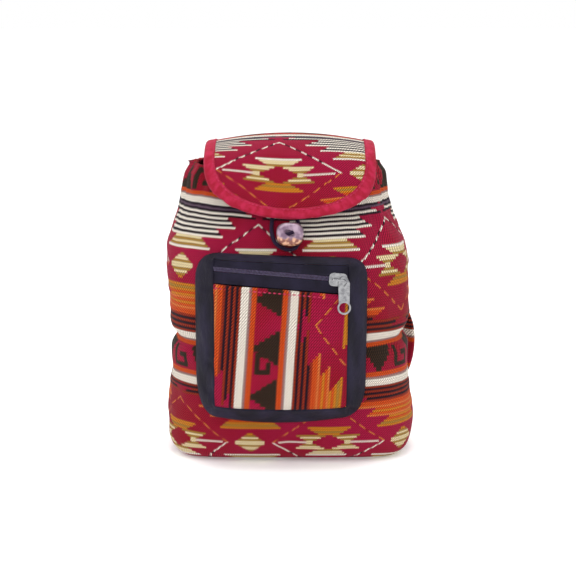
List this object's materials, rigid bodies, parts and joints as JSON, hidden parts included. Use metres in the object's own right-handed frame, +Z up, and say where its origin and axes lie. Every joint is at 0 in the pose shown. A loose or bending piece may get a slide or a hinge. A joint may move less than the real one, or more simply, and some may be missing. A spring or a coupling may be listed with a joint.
{
  "type": "mini backpack purse",
  "caption": "Small soft backpack of patterned woven cloth with a gathered mouth, a bound flap on a loop and button, a zipped front pocket and shoulder straps.",
  "frame": {"origin": "centre of the flat base that the bag stands on", "axes": "+Z up, -Y out of the front pocket, +X to the right as seen from the front"},
  "size_m": [0.2119, 0.1484, 0.2665],
  "materials": {
    "woven_cloth": "coarse twill of many colours on crimson",
    "binding_tape": "plain crimson bias tape with a stitched edge",
    "navy_nylon": "smooth dark blue cloth with a soft sheen",
    "zip_coil": "dark plastic coil",
    "zip_metal": "worn silver",
    "mottled_button": "glazed, mottled mauve and tan",
    "dark_thread": "dark purple twisted cord"
  },
  "bodies": {
    "bag": {"bag_body": "woven_cloth", "flap": "woven_cloth", "flap_binding": "binding_tape", "button": "mottled_button", "button_thread": "dark_thread", "button_loop": "dark_thread", "pocket_gusset": "navy_nylon", "pocket_panel": "woven_cloth", "zip_tape_upper": "navy_nylon", "zip_tape_lower": "navy_nylon", "zip_coil_upper": "zip_coil", "zip_coil_lower": "zip_coil", "zip_slider": "zip_metal", "shoulder_strap_right": "woven_cloth", "shoulder_strap_left": "woven_cloth"},
    "pull": {"pull_tab": "zip_metal"}
  },
  "joints": [
    {"name": "pull_tab_swing", "type": "hinge", "parent": "bag", "child": "pull", "pos_m": [0.04229, -0.07317, 0.15798], "axis": [-0.1048, 0.9902, -0.0928], "range_deg": [-225, 45]}
  ]
}
